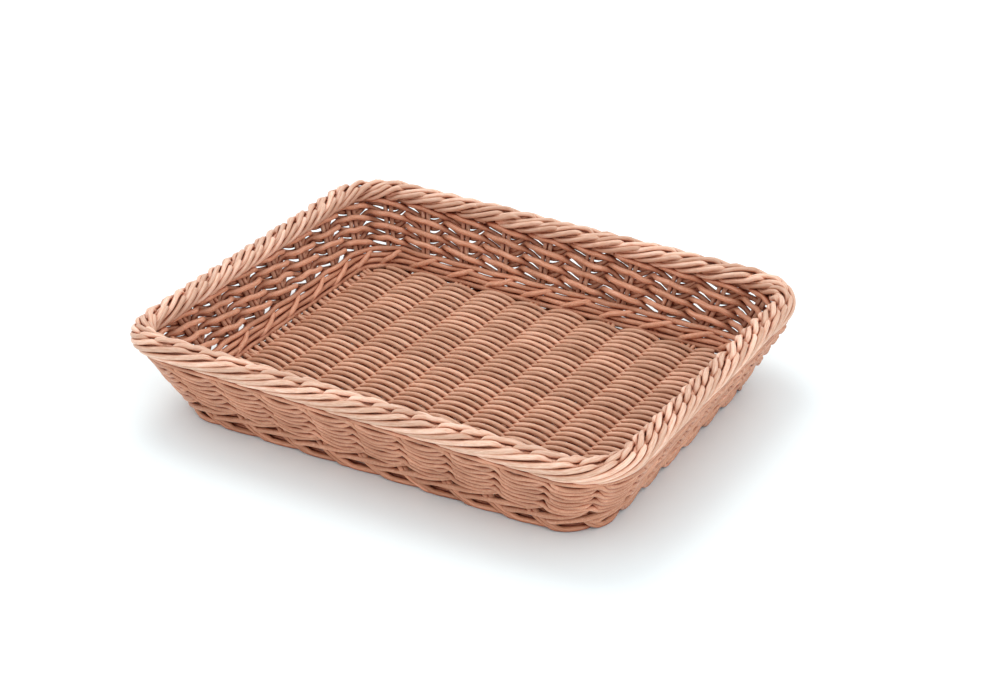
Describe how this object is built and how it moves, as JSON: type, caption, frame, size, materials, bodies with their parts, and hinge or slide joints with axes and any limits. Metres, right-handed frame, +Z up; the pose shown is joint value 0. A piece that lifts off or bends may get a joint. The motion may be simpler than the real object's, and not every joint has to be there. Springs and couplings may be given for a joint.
{
  "type": "bread basket",
  "caption": "Low rectangular woven bread basket in light salmon cane, with flared walls, rounded corners, a slanting wrapped border and a roped foot.",
  "frame": {"origin": "centre of the footprint at the height of the surface the basket stands on", "axes": "+X along the long side, +Y along the short side, +Z up"},
  "size_m": [0.325, 0.265, 0.0597],
  "materials": {
    "cane": "satin",
    "deep_cane": "satin",
    "steel": "satin"
  },
  "bodies": {
    "root": {"rim_wire": "steel", "foot_wire": "steel", "foot_border": "deep_cane", "floor_stakes": "deep_cane", "floor_upper_strands": "cane", "floor_lower_strands": "deep_cane", "near_wall_stakes": "deep_cane", "far_wall_stakes": "deep_cane", "left_wall_stakes": "deep_cane", "right_wall_stakes": "deep_cane", "corner_wall_stakes": "deep_cane", "wall_round_1": "cane", "wall_round_2": "cane", "wall_round_3": "cane", "wall_round_4": "cane", "wall_round_5": "cane", "wall_inner_strands": "deep_cane", "near_border_outer": "cane", "far_border_outer": "cane", "left_border_outer": "cane", "right_border_outer": "cane", "corner_border_outer": "cane", "near_border_inner": "cane", "far_border_inner": "cane", "left_border_inner": "cane", "right_border_inner": "cane", "corner_border_inner": "cane"}
  },
  "joints": []
}
